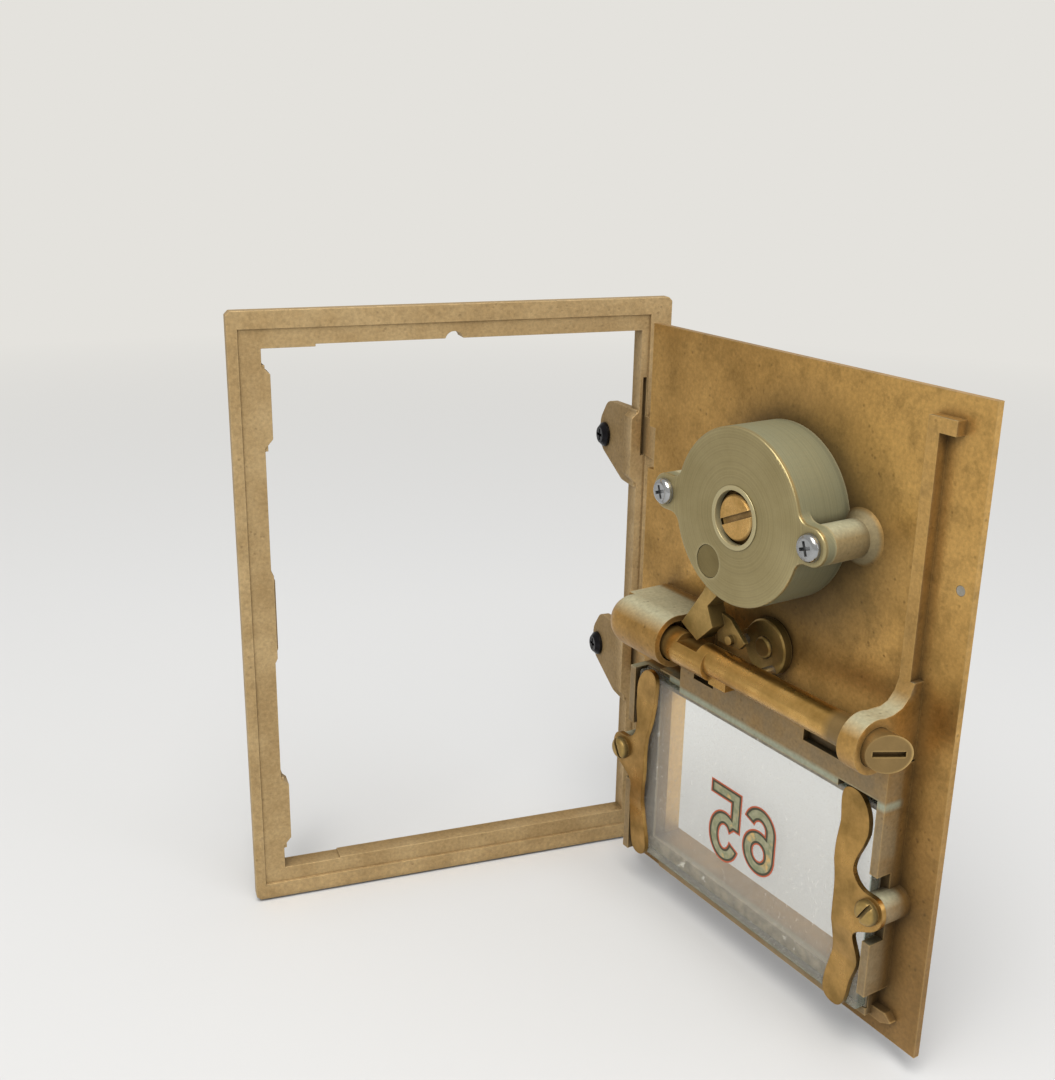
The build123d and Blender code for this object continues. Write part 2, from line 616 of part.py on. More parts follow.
def cap_screw(x):
    """Cross-recessed pan-head screw."""
    base = at(CAP_H)
    head = rod_y(x, LOCK_Z, CAP_SCREW_HEAD_R, base, base + CAP_SCREW_HEAD_H)
    head = fillet(head.faces().sort_by(Axis.Y)[-1].edges(), CAP_SCREW_HEAD_H * 0.7)
    body = head + rod_y(x, LOCK_Z, CAP_SCREW_R, base - CAP_LUG_T - CAP_SCREW_BITE, base + 0.2)
    for turn in (0, 90):
        cross = Pos(x, base + CAP_SCREW_HEAD_H, LOCK_Z) * Rot(Y=turn + 20) * Box(2.6, 1.4, 0.6)
        body -= cross
    return body


# ================================================================ dial train
def wheel_base(index):
    """Height of a tumbler wheel's plate side."""
    return POST_FLANGE_T + WHEEL_SIDE_GAP + index * WHEEL_PITCH


POST_TOP = wheel_base(WHEEL_COUNT) - WHEEL_SIDE_GAP


def peg(angle, y0, y1):
    """Drive peg on a wheel."""
    x = PEG_ORBIT * cos(radians(angle))
    z = LOCK_Z + PEG_ORBIT * sin(radians(angle))
    return rod_y(x, z, PEG_R, y0, y1)


def gated_disc(y0, y1, bore):
    """Wheel with its gate turned to the fence's nose."""
    body = rod_y(0, LOCK_Z, WHEEL_R, y0, y1) - rod_y(0, LOCK_Z, bore, y0 - 1, y1 + 1)
    nose = fence_nose()
    angle = degrees(atan2(nose[1] - LOCK_Z, nose[0]))
    cut = Pos(WHEEL_R, 0, 0) * Box(2 * GATE_DEPTH, 4 * WHEEL_T, GATE_W)
    return body - Pos(0, (y0 + y1) / 2, LOCK_Z) * Rot(Y=-angle - 4) * cut


def tumbler_wheel(index):
    """Loose wheel on the post with a peg on each side."""
    y0 = at(wheel_base(index))
    y1 = y0 + WHEEL_T
    body = gated_disc(y0, y1, POST_R + RUN_FIT)
    for x, z in ((7.0, 0.0), (-3.5, 6.1), (-3.5, -6.1)):
        body -= rod_y(x, LOCK_Z + z, 1.6, y0 - 1, y1 + 1)
    if index:
        body += peg(60 + 12 * index, y0 - PEG_H, y0 + 0.3)
    return body + peg(60 + 12 * (index + 1) - 10, y1 - 0.3, y1 + PEG_H - 0.1)


def wheel_spacer(index):
    """Washer on the post between two wheels."""
    y0 = at(wheel_base(index)) + WHEEL_T + WHEEL_SIDE_GAP
    y1 = at(wheel_base(index + 1)) - WHEEL_SIDE_GAP
    return rod_y(0, LOCK_Z, SPACER_R, y0, y1) - rod_y(0, LOCK_Z, POST_R, y0 - 1, y1 + 1)


def wheel_post():
    """Fixed tube that the wheels turn on and the spindle runs in."""
    body = rod_y(0, LOCK_Z, POST_R, FACE, at(POST_TOP))
    body += rod_y(0, LOCK_Z, POST_FLANGE_R, REAR, at(POST_FLANGE_T))
    return body - rod_y(0, LOCK_Z, SPINDLE_R + RUN_FIT, FACE - 1, at(POST_TOP) + 1)


def driver_wheel():
    """Wheel fixed to the spindle, next to the roof of the cap."""
    y0 = at(wheel_base(WHEEL_COUNT))
    body = gated_disc(y0, y0 + WHEEL_T, SPINDLE_R)
    return body + peg(60 + 12 * WHEEL_COUNT, y0 - PEG_H, y0 + 0.3)


def dial_spindle():
    """Shaft from the dial knob to the driver."""
    knob_seat = FACE - DIAL_RING_T - DIAL_KNOB_GAP
    end = at(wheel_base(WHEEL_COUNT)) + WHEEL_T
    body = rod_y(0, LOCK_Z, SPINDLE_R, knob_seat - DIAL_KNOB_H + 2.5, end)
    return body - rod_y(0, LOCK_Z, 1.2, end - 6, end + 1)


def spindle_screw():
    """Slotted screw that holds the driver on the spindle, seen through the cap."""
    seat = at(wheel_base(WHEEL_COUNT)) + WHEEL_T
    top = at(CAP_H) - 0.1
    head = rod_y(0, LOCK_Z, SPINDLE_HEAD_R, seat, top)
    head = chamfer(head.faces().sort_by(Axis.Y)[-1].edges(), 0.4)
    body = head + rod_y(0, LOCK_Z, 1.2, seat - 5, seat + 0.2)
    slot = Pos(0, top, LOCK_Z) * Rot(Y=25) * Box(3 * SPINDLE_HEAD_R, 1.8, SPINDLE_SLOT_W)
    return body - slot


def dial_knob():
    """Fluted knob with a pointer groove."""
    y1 = FACE - DIAL_RING_T - DIAL_KNOB_GAP
    y0 = y1 - DIAL_KNOB_H
    flange = rod_y(0, LOCK_Z, DIAL_KNOB_R, y1 - 2.0, y1)
    grip = rod_y(0, LOCK_Z, DIAL_KNOB_R - 2.4, y0, y1 - 1.5)
    grip = fillet(grip.faces().sort_by(Axis.Y)[0].edges(), 1.2)
    for index in range(DIAL_FLUTES):
        angle = 2 * pi * index / DIAL_FLUTES
        orbit = DIAL_KNOB_R - 2.4 + DIAL_FLUTE_R * 0.6
        grip -= rod_y(orbit * cos(angle), LOCK_Z + orbit * sin(angle), DIAL_FLUTE_R, y0 - 1, y1 - 2)
    body = flange + grip
    body -= block(-0.35, 0.35, y1 - 2.3, y1 - 1.6, LOCK_Z + DIAL_KNOB_R - 2.2, LOCK_Z + DIAL_KNOB_R + 1)
    return body - rod_y(0, LOCK_Z, SPINDLE_R, y0 + 2.5, y1 + 1)


def dial_ring():
    """Fixed ring round the knob that carries the numbers."""
    body = rod_y(0, LOCK_Z, DIAL_RING_R, FACE - DIAL_RING_T, FACE)
    body = chamfer(body.faces().sort_by(Axis.Y)[0].edges(), 0.8)
    return body - rod_y(0, LOCK_Z, DIAL_RING_BORE_R, FACE - DIAL_RING_T - 1, FACE + 1)


def dial_marks():
    """Ten radial lines with plain bars between them, raised on the ring."""
    marks = []
    y1 = FACE - DIAL_RING_T
    middle = (DIAL_RING_R + DIAL_RING_BORE_R) / 2 - 0.4
    for index in range(DIAL_MARKS):
        line = Pos(0, y1 - MARK_RELIEF / 2, middle) * Box(0.5, MARK_RELIEF, 3.2)
        marks.append(Pos(0, 0, LOCK_Z) * Rot(Y=360 * index / DIAL_MARKS) * line)
    return group(marks)


# ================================================================ latch bolt
def latch_bolt():
    """Round bolt with a bevelled head, a guide at its tail, a shoe and a stop lug."""
    y = at(BOLT_HEIGHT)
    body = rod_x(y, BOLT_Z, BOLT_R, BOLT_TIP_X, BOLT_TAIL_X)
    body += rod_x(y, BOLT_Z, BOLT_HEAD_R, BOLT_TIP_X, BOLT_HEAD_X)
    body += rod_x(y, BOLT_Z, GUIDE_R, BOLT_TAIL_X - GUIDE_L, BOLT_TAIL_X)
    body += rod_x(y, BOLT_Z - SHOE_DROP, SHOE_R, SHOE_END_X, BOLT_TAIL_X - GUIDE_L)
    body += block(SHOE_END_X - STOP_LUG_L, SHOE_END_X, at(STOP_LUG_HEIGHT[0]), at(STOP_LUG_HEIGHT[1]),
                  STOP_LUG_Z[0], STOP_LUG_Z[1])
    # bevel that faces rearwards and outwards, with its screwdriver slot
    reach = 4 * BOLT_HEAD_R
    bevel = Pos(BOLT_TIP_X, y - BOLT_HEAD_R, BOLT_Z) * Rot(Z=-BOLT_BEVEL)
    body -= bevel * (Pos(-reach / 2, 0, 0) * Box(reach, 3 * reach, reach))
    middle = BOLT_HEAD_R / cos(radians(BOLT_BEVEL))
    body -= bevel * (Pos(0, middle, 0) * Box(2 * TIP_SLOT_DEPTH, TIP_SLOT_L, TIP_SLOT_W))
    # seat that the fence lever drops into, and the cross slot the cam pin works in
    seat_x = lever_tip()[0]
    body -= block(seat_x + BOLT_SEAT[0], seat_x + BOLT_SEAT[1], at(5.5), at(15),
                  BOLT_Z + BOLT_R - BOLT_SEAT_DEPTH, BOLT_Z + 9)
    slot = CAM_PIN_R + CAM_SLOT_GAP
    return body - block(cam_pin_x() - slot, cam_pin_x() + slot, at(6), at(CAM_PIN_TOP + 0.4),
                        BOLT_Z - 8, BOLT_Z + 8)


def bolt_spring():
    """Compression spring between the barrel's floor and the bolt's tail."""
    length = BARREL_FLOOR_X - BOLT_TAIL_X - 2 * SPRING_WIRE_R - 0.1
    path = Helix(pitch=length / SPRING_COILS, height=length, radius=SPRING_R)
    start = path @ 0
    section = Plane(origin=start, z_dir=path % 0) * Circle(SPRING_WIRE_R)
    coil = sweep(section, path=path)
    gap = length / SPRING_COILS - 2 * SPRING_WIRE_R
    print("spring: gap between turns %.2f mm" % gap)
    x0 = BOLT_TAIL_X + SPRING_WIRE_R + 0.05
    return Pos(x0, at(BOLT_HEIGHT), BOLT_Z) * Rot(Y=90) * coil


# ================================================================ latch knob
def cam_pin_x():
    """X of the cam's drive pin with the bolt out."""
    return -CAM_PIN_ORBIT * sin(radians(KNOB_TURN / 2))


def cam_pin_z():
    """Z of the cam's drive pin with the bolt out."""
    return CAM_Z - CAM_PIN_ORBIT * cos(radians(KNOB_TURN / 2))


def latch_cam():
    """Disc on the latch spindle."""
    body = rod_y(0, CAM_Z, CAM_R, at(CAM_GAP), at(CAM_TOP))
    body = chamfer(body.faces().sort_by(Axis.Y)[-1].edges(), 0.3)
    body += rod_y(STOP_PIN_ORBIT, CAM_Z, STOP_LOBE_R, at(CAM_GAP), at(CAM_TOP) - 0.15)
    body -= rod_y(0, CAM_Z, LATCH_SPINDLE_R, REAR, at(CAM_TOP) + 1)
    body -= rod_y(cam_pin_x(), cam_pin_z(), CAM_PIN_R, REAR, at(CAM_TOP) + 1)
    return body - rod_y(STOP_PIN_ORBIT, CAM_Z, CAM_PIN_R, REAR, at(CAM_TOP) + 1)


def cam_drive_pin():
    """Pin that moves the bolt."""
    return rod_y(cam_pin_x(), cam_pin_z(), CAM_PIN_R, at(CAM_GAP), at(CAM_PIN_TOP))


def cam_stop_pin():
    """Short pin at the cam's rim."""
    return rod_y(STOP_PIN_ORBIT, CAM_Z, CAM_PIN_R, at(CAM_GAP), at(STOP_PIN_TOP))


def latch_spindle():
    """Shaft from the latch knob to the cam, its end peened over."""
    end = at(CAM_TOP) + 0.7
    body = rod_y(0, CAM_Z, LATCH_SPINDLE_R, FACE - ROSETTE_T - 4.0, end)
    return chamfer(body.faces().sort_by(Axis.Y)[-1].edges(), 0.4)


def latch_rosette():
    """Round washer plate behind the latch knob."""
    body = rod_y(0, CAM_Z, ROSETTE_R, FACE - ROSETTE_T, FACE)
    body = chamfer(body.faces().sort_by(Axis.Y)[0].edges(), 0.5)
    return body - rod_y(0, CAM_Z, LATCH_SPINDLE_R + RUN_FIT, FACE - ROSETTE_T - 1, FACE + 1)


def latch_knob():
    """Round-ended thumb-turn."""
    y1 = FACE - ROSETTE_T - 0.4
    y0 = y1 - LATCH_KNOB_H
    base = rod_y(0, CAM_Z, LATCH_KNOB_R, y1 - 2.2, y1)
    grip = rod_y(0, CAM_Z, LATCH_KNOB_R, y0, y1)
    grip &= block(-1.7, 1.7, y0 - 1, y1 + 1, CAM_Z - 9, CAM_Z + 9)
    body = base + grip
    return body - rod_y(0, CAM_Z, LATCH_SPINDLE_R, y1 - 3.6, y1 + 1)


# ================================================================ fence lever
def lever_tip():
    """Corner of the lever that sits in the bolt."""
    return (LEVER_TIP_X, BOLT_Z + BOLT_R - LEVER_TIP_DROP)


def fence_nose():
    """Middle of the fence's nose, just outside the wheels' rims."""
    reach = (NOSE_INNER_R + CAP_R - CAP_WALL - DOOR_GAP) / 2
    return (reach * cos(radians(NOSE_ANGLE)), LOCK_Z + reach * sin(radians(NOSE_ANGLE)))


def sector(start, end):
    """Slice between two angles, wide enough to reach past the cap."""
    far = 2 * CAP_R
    return polygon((0, 0), (far * cos(radians(start)), far * sin(radians(start))),
                   (far * cos(radians(end)), far * sin(radians(end))))


def from_pivot(points):
    """Points given from the lever's pivot, as (x, z)."""
    return [(LEVER_PIVOT_X + x, LEVER_PIVOT_Z + z) for x, z in points]


def fence_lever():
    """Lever with its dog on the bolt, its tail round the wheels and its tongue at the cam."""
    low, high = at(LEVER_HEIGHT[0]), at(LEVER_HEIGHT[1])
    dog = polygon(*from_pivot(DOG_OUTER), lever_tip(), *from_pivot(DOG_INNER))
    body = slab_y(dog, low, high)
    body += rod_y(LEVER_PIVOT_X, LEVER_PIVOT_Z, LEVER_EYE_R, low, high)
    # tail that follows the rims, then the fence bar across all the wheels
    arc = Circle(CAP_R - CAP_WALL - DOOR_GAP) - Circle(NOSE_INNER_R)
    start = NOSE_ANGLE - FENCE_HALF_ANGLE
    end = NOSE_ANGLE + FENCE_HALF_ANGLE
    tail = Pos(0, 0, LOCK_Z) * slab_y(arc & sector(TAIL_END_ANGLE, end), low, high)
    bar = Pos(0, 0, LOCK_Z) * slab_y(arc & sector(start, end), at(FENCE_HEIGHT), high)
    body += tail + bar
    body += slab_y(polygon(*from_pivot(TONGUE)), low, low + TONGUE_T)
    stud_x, stud_z = from_pivot([TONGUE_STUD])[0]
    body += rod_y(stud_x, stud_z, TONGUE_STUD_R, low, low + 2 * TONGUE_T)
    return body - rod_y(LEVER_PIVOT_X, LEVER_PIVOT_Z, LEVER_PIN_R + RUN_FIT, low - 1, high + 1)


def lever_pin():
    """Post that the fence lever turns on, riveted in the plate."""
    body = rod_y(LEVER_PIVOT_X, LEVER_PIVOT_Z, LEVER_PIN_R, REAR - 1.5, at(CAP_H - CAP_WALL))
    return body + rod_y(LEVER_PIVOT_X, LEVER_PIVOT_Z, LEVER_PIN_R + 0.5, REAR, at(1.0))


# ================================================================ window
def window_seal():
    """Bedding strip under the pane."""
    body = block(-PANE_W / 2, PANE_W / 2, at(SEAT_HEIGHT), at(PANE_HEIGHT), PANE_BOTTOM, PANE_TOP)
    return body - block(WINDOW_LEFT, WINDOW_RIGHT, REAR, at(PANE_HEIGHT) + 1, WINDOW_BOTTOM, WINDOW_TOP)


def window_pane():
    """Glass with ground edges."""
    body = block(-PANE_W / 2, PANE_W / 2, at(PANE_HEIGHT), at(GLASS_BACK), PANE_BOTTOM, PANE_TOP)
    return chamfer(body.edges().filter_by(Axis.Y), 0.6)


def clip_outline(out, narrow, foot):
    """Wavy leaf with an eye, free side; its lobes can stand further out, be narrower or end further in."""
    eye = -CLIP_SCREW_X
    outer = eye - out
    inner = eye - narrow
    edge = [(outer + x, CLIP_TOP + z) for x, z in CLIP_OUTER_TOP]
    edge += [(eye + x, CLIP_SCREW_Z + z) for x, z in CLIP_EYE_EDGE]
    edge += [(outer + x + foot * (z < CLIP_BEND_Z[1] / 2), CLIP_BOTTOM + z) for x, z in CLIP_OUTER_FOOT]
    edge += [(inner + foot + x, CLIP_BOTTOM + z) for x, z in CLIP_INNER_FOOT]
    edge += [(inner + x, CLIP_SCREW_Z + z) for x, z in CLIP_INNER_SIDE]
    edge += [(inner + CLIP_INNER_TOP[0], CLIP_TOP + CLIP_INNER_TOP[1])]
    return make_face(Spline(*edge, periodic=True))


def window_clip(side):
    """Leaf that presses on the pane at both ends and is screwed down at its eye."""
    low = GLASS_BACK + CLIP_LIFT
    high = CLIP_BOSS_H
    z = CLIP_SCREW_Z
    near, far = CLIP_BEND_Z
    lower = [(at(low), CLIP_BOTTOM - 2), (at(low), z - far), (at(high), z - near),
             (at(high), z + near), (at(low), z + far), (at(low), CLIP_TOP + 2)]
    upper = [(y + CLIP_T, height) for y, height in reversed(lower)]
    band = slab_x(polygon(*lower, *upper), -CLIP_SCREW_X - 8, -CLIP_SCREW_X + 14)
    if side < 0:
        outline = clip_outline(0, 0, CLIP_FOOT_INSET)
    else:
        outline = clip_outline(CLIP_OUTSET, CLIP_NARROWING, 0)
    body = slab_y(outline, at(low - 1), at(high + 3)) & band
    body -= rod_y(-CLIP_SCREW_X, z, CLIP_SCREW_R, at(0), at(high + 3))
    return body if side < 0 else mirror(body, Plane.YZ)


def clip_screw(side):
    """Slotted round-head screw."""
    x = side * CLIP_SCREW_X
    base = at(CLIP_BOSS_H + CLIP_T)
    head = rod_y(x, CLIP_SCREW_Z, CLIP_SCREW_HEAD_R, base, base + CLIP_SCREW_HEAD_H)
    head = fillet(head.faces().sort_by(Axis.Y)[-1].edges(), CLIP_SCREW_HEAD_H * 0.7)
    body = head + rod_y(x, CLIP_SCREW_Z, CLIP_SCREW_R, at(0.8), base + 0.2)
    slot = Pos(x, base + CLIP_SCREW_HEAD_H, CLIP_SCREW_Z) * Rot(Y=-side * 60) * Box(8, 1.6, 0.8)
    return body - slot


def ring_stroke(z, height, start, sweep_angle):
    """Part of an oval pen stroke as wide as a figure, from a start angle over a sweep."""
    a, b = FIGURE_W / 2, height / 2
    band = Pos(0, z) * (Ellipse(a, b) - Ellipse(a - STROKE_W, b - STROKE_W))
    if sweep_angle >= 360:
        return band
    far = 2 * height
    turns = [radians(start + sweep_angle * k / 6) for k in range(7)]
    return band & polygon((0, z), *[(far * cos(turn), z + far * sin(turn)) for turn in turns])


def window_number():
    """Two figures on the back of the glass, read from the front, built from strokes."""
    y0 = at(GLASS_BACK)
    side = (FIGURE_W - STROKE_W) / 2
    six_bowl = (SIX_BOWL_H - SIX_H) / 2
    five_bowl = (FIVE_BOWL_H - FIVE_H) / 2
    five_stem = FIVE_H / 2 - five_bowl - FIVE_BOWL_H / 4
    six = Pos(NUMBER_X - FIGURE_PITCH / 2, NUMBER_TOP - SIX_H / 2) * (
        ring_stroke(six_bowl, SIX_BOWL_H, 0, 360)
        + Pos(-side, 0) * Rectangle(STROKE_W, -2 * six_bowl)
        + ring_stroke(-six_bowl, SIX_BOWL_H, 20, 160))
    five = Pos(NUMBER_X + FIGURE_PITCH / 2, NUMBER_TOP - FIVE_H / 2) * (
        ring_stroke(five_bowl, FIVE_BOWL_H, -155, 290)
        + Pos(-side, (FIVE_H - five_stem) / 2) * Rectangle(STROKE_W, five_stem)
        + Pos(0, (FIVE_H - STROKE_W) / 2) * Rectangle(FIGURE_W, STROKE_W))
    return Compound(children=[slab_y(six, y0, y0 + NUMBER_T), slab_y(five, y0, y0 + NUMBER_T)])


def edge_rivet():
    """Small rivet near the free edge, flush on both faces."""
    return rod_y(RIVET_X, RIVET_Z, RIVET_R, FACE, REAR)


# ================================================================ write the pieces
save("door_frame", door_frame())
save("mounting_screws", group(mounting_screw(z) for z in HINGE_EAR_Z))
save("hinge_pins", group(hinge_pin(base) for base in HINGE_BASE_Z))

DOOR_PIECES = {
    "door_plate": door_plate, "lock_cap": lock_cap, "cap_eyelet": cap_eyelet, "cap_plug": cap_plug,
    "wheel_post": wheel_post, "driver_wheel": driver_wheel, "dial_spindle": dial_spindle,
    "spindle_screw": spindle_screw, "dial_knob": dial_knob, "dial_ring": dial_ring,
    "dial_marks": dial_marks, "latch_bolt": latch_bolt, "bolt_spring": bolt_spring,
    "latch_cam": latch_cam, "cam_drive_pin": cam_drive_pin, "cam_stop_pin": cam_stop_pin,
    "latch_spindle": latch_spindle, "latch_rosette": latch_rosette, "latch_knob": latch_knob,
    "fence_lever": fence_lever, "lever_pin": lever_pin, "window_seal": window_seal,
    "window_pane": window_pane, "window_number": window_number, "edge_rivet": edge_rivet,
}
for name, make in DOOR_PIECES.items():
    save(name, swung(make()))
save("cap_screws", swung(group(cap_screw(x) for x in CAP_SCREW_X)))
save("clip_screws", swung(group(clip_screw(side) for side in (-1, 1))))
save("window_clip_free_side", swung(window_clip(-1)))
save("window_clip_hinge_side", swung(window_clip(1)))
save("wheel_spacers", swung(group(wheel_spacer(index) for index in range(WHEEL_COUNT - 1))))
for index in range(WHEEL_COUNT):
    save("tumbler_wheel_%d" % (index + 1), swung(tumbler_wheel(index)))
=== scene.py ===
import math

import bmesh
import bpy
from mathutils import Matrix, Vector


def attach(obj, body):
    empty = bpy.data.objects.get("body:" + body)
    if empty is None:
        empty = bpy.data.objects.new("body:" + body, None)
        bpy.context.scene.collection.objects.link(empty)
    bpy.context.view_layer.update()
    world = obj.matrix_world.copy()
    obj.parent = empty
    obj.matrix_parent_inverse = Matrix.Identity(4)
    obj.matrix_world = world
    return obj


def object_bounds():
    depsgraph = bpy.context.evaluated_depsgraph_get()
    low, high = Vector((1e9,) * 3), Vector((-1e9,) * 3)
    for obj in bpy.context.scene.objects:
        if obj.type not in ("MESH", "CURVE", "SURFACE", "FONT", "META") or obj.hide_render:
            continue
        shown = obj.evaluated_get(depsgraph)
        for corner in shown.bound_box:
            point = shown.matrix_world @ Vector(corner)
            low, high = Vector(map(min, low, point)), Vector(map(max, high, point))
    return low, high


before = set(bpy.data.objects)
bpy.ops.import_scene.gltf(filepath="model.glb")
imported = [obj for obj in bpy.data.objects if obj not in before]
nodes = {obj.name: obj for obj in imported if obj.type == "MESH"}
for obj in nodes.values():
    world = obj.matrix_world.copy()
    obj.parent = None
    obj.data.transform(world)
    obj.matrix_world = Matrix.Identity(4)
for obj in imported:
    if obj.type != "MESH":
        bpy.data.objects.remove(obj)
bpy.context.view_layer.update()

# ---------------------------------------------------------------- the cast frame
# One sand casting in yellow brass, cleaned by tumbling and left unlacquered. It has gone dull and
# pale, with the grain of the sand and small pits on its face, and is browner inside the doorway.
MM = 0.001
SKIN_DEPTH = (-2.3 * MM, 1.0 * MM)
PIT_SPACING_MM = 1.7


def linear(code, alpha=1.0):
    """A colour written as sRGB hex, turned to the linear values the shader takes."""
    parts = [int(code[i:i + 2], 16) / 255 for i in (1, 3, 5)]
    return [c / 12.92 if c <= 0.04045 else ((c + 0.055) / 1.055) ** 2.4 for c in parts] + [alpha]


def add(tree, kind, *values, out=0, **named):
    """Adds one node and returns an output of it. A kind in capitals is a math node's operation.

    Values go to the inputs in order, or by number from a dict. A name with a capital is an input,
    any other name is a setting. A value may be another node's output or a hex colour.
    """
    if kind.isupper():
        kind, named = "Math", {"operation": kind}
    made = tree.nodes.new("ShaderNode" + kind)
    inputs = dict(values[0]) if values and isinstance(values[0], dict) else dict(enumerate(values))
    for name, value in named.items():
        if name[0].isupper():
            inputs[name] = value
        else:
            setattr(made, name, value)
    for name, value in inputs.items():
        if isinstance(value, bpy.types.NodeSocket):
            tree.links.new(value, made.inputs[name])
        else:
            made.inputs[name].default_value = linear(value) if isinstance(value, str) else value
    return made.outputs[out] if made.outputs else made


def laid_over(tree, colour, *layers):
    """A colour with layers laid over it, each an amount from 0 to 1 and a colour."""
    for amount, layer in layers:
        colour = add(tree, "Mix", {0: amount, 6: colour, 7: layer}, out=2, data_type="RGBA")
    return colour


def new_material(name):
    """An empty material with its surface shader; returns the material, its tree and the shader."""
    made = bpy.data.materials.new(name)
    made.use_nodes = True
    tree = made.node_tree
    tree.nodes.clear()
    shader = add(tree, "BsdfPrincipled").node
    add(tree, "OutputMaterial", Surface=shader.outputs["BSDF"])
    return made, tree, shader


def metal(name, dull, bright, grime_and_shade, rough=(0.34, 0.5), grain_mm=0.6, depth_mm=0.03, tint=0.5, blotch_mm=14.0,
          pocket_mm=3.0, corner_darkness=0.7, edge=None, wear_mm=0.5, pits=0.0, skin=None, groove=None, seed=0.0,
          shine=1.0):
    """Two tones in blotches under a skin of layers, with grain, pits, worn edges, and corners darkened with
    painted shade that stands for filth there too.

    The skin and the darkened corners also take the metal's shine away.
    """
    made, tree, shader = new_material(name)
    place = add(tree, "TexCoord", out="Object")
    moved = add(tree, "Mapping", Vector=place, Location=(seed, seed * 0.7, -seed))
    blotch = add(tree, "TexNoise", Vector=moved, Scale=1 / (blotch_mm * MM), Detail=5, Roughness=0.62)
    relief = add(tree, "TexNoise", Vector=moved, Scale=1 / (grain_mm * MM), Detail=3, Roughness=0.6)
    layers, cover = skin(tree, place) if skin else ([], 0.0)
    colour = laid_over(tree, dull, (add(tree, "MapRange", blotch, 0.34, 0.66), bright), *layers)
    if groove:
        relief = groove(tree, place, relief)
    lift = add(tree, "MULTIPLY_ADD", add(tree, "SUBTRACT", relief, 0.5), tint, 1.0)
    if pits:
        cells = add(tree, "TexVoronoi", Vector=moved, Scale=1 / (PIT_SPACING_MM * MM))
        patches = add(tree, "TexNoise", Vector=moved, Scale=1 / (5.0 * MM), Detail=2, Roughness=0.6)
        hollow = add(tree, "MULTIPLY", add(tree, "MapRange", cells, 0.22, 0.08),
                     add(tree, "MapRange", patches, 0.42, 0.62))
        lift = add(tree, "MULTIPLY", lift, add(tree, "MULTIPLY_ADD", hollow, -pits, 1.0))
        relief = add(tree, "MULTIPLY_ADD", hollow, -0.8, relief)
    colour = add(tree, "Mix", {0: 1.0, 6: colour, 7: add(tree, "CombineColor", lift, lift, lift)}, out=2,
                 data_type="RGBA", blend_type="MULTIPLY")
    # painted shade: the corners and recesses that ambient occlusion finds take the darker colour below, which
    # stands for filth collected there as well
    corner = add(tree, "AmbientOcclusion", Distance=pocket_mm * MM, samples=8, out="AO")
    shaded_corners = add(tree, "MapRange", corner, 0.9, 0.35, 0.0, corner_darkness)
    colour = laid_over(tree, colour, (shaded_corners, grime_and_shade))
    if edge:
        sharp = add(tree, "AmbientOcclusion", Distance=wear_mm * MM, samples=6, inside=True, out="AO")
        colour = laid_over(tree, colour, (add(tree, "MapRange", sharp, 0.75, 0.35, 0.0, 0.6), edge))
    cover = add(tree, "MAXIMUM", shaded_corners, cover)
    worn = add(tree, "MapRange", blotch, 0.35, 0.65, rough[1], rough[0])
    tree.links.new(colour, shader.inputs["Base Color"])
    tree.links.new(add(tree, "MULTIPLY_ADD", cover, 0.25, worn), shader.inputs["Roughness"])
    tree.links.new(add(tree, "MapRange", cover, 0.0, 1.0, shine, 0.3 * shine), shader.inputs["Metallic"])
    tree.links.new(add(tree, "Bump", Strength=0.7, Distance=depth_mm * MM, Height=relief),
                   shader.inputs["Normal"])
    return made


def finish_cad(names, material, edge_mm=0.2, segments=2):
    """Gives CAD nodes their material, and rounds their edges over as casting and polishing do."""
    for name in names:
        piece = nodes[name]
        mesh = piece.data
        mesh.materials.clear()
        mesh.materials.append(material)
        if mesh.has_custom_normals and "custom_normal" in mesh.attributes:
            mesh.attributes.remove(mesh.attributes["custom_normal"])
        mesh.polygons.foreach_set("use_smooth", [True] * len(mesh.polygons))
        weld = piece.modifiers.new("join the triangles", "WELD")
        weld.merge_threshold = 0.002 * MM
        flat = piece.modifiers.new("plain faces", "DECIMATE")
        flat.decimate_type = "DISSOLVE"
        flat.angle_limit = math.radians(0.5)
        edge = piece.modifiers.new("rounded edges", "BEVEL")
        edge.width = edge_mm * MM
        edge.segments = segments
        edge.limit_method = "ANGLE"
        edge.angle_limit = math.radians(32)
        edge.harden_normals = True
        edge.use_clamp_overlap = True


def frame_skin(tree, place):
    """Brown on what lies behind the flange's face, and a little off the shine everywhere."""
    behind = add(tree, "MapRange", add(tree, "SeparateXYZ", place, out="Y"), *SKIN_DEPTH, 0.0, 0.7)
    return [(behind, "#82693f")], add(tree, "MULTIPLY_ADD", behind, 0.4, 0.2)


cast = metal("sand_cast_brass", "#b1976c", "#c3a97d", "#5a492d", rough=(0.45, 0.6), grain_mm=0.7,
             depth_mm=0.09, tint=0.75, blotch_mm=9.0, pocket_mm=2.0, corner_darkness=0.75, edge="#d2bb90", pits=0.25,
             skin=frame_skin)
finish_cad(["door_frame"], cast, edge_mm=0.35)

# ---------------------------------------------------------------- frame screws
# Two wood screws of blacked steel go through the ears on the hinge side. Only their cross-recessed
# heads show, nearly black, with small sharp lights on the rims.
black = metal("blacked_steel", "#17171a", "#2b2a2c", "#080808", rough=(0.28, 0.42), grain_mm=0.4, corner_darkness=0.4)
finish_cad(["mounting_screws"], black, edge_mm=0.1)

# ---------------------------------------------------------------- hinge pins
# Plain ground steel pins in the frame's lugs, their ends peened over. They are smooth and grey, a
# little yellowed.
steel = metal("ground_steel", "#9a958a", "#bdb9ae", "#4a4438", rough=(0.28, 0.4), grain_mm=0.4)
finish_cad(["hinge_pins"], steel, edge_mm=0.12)

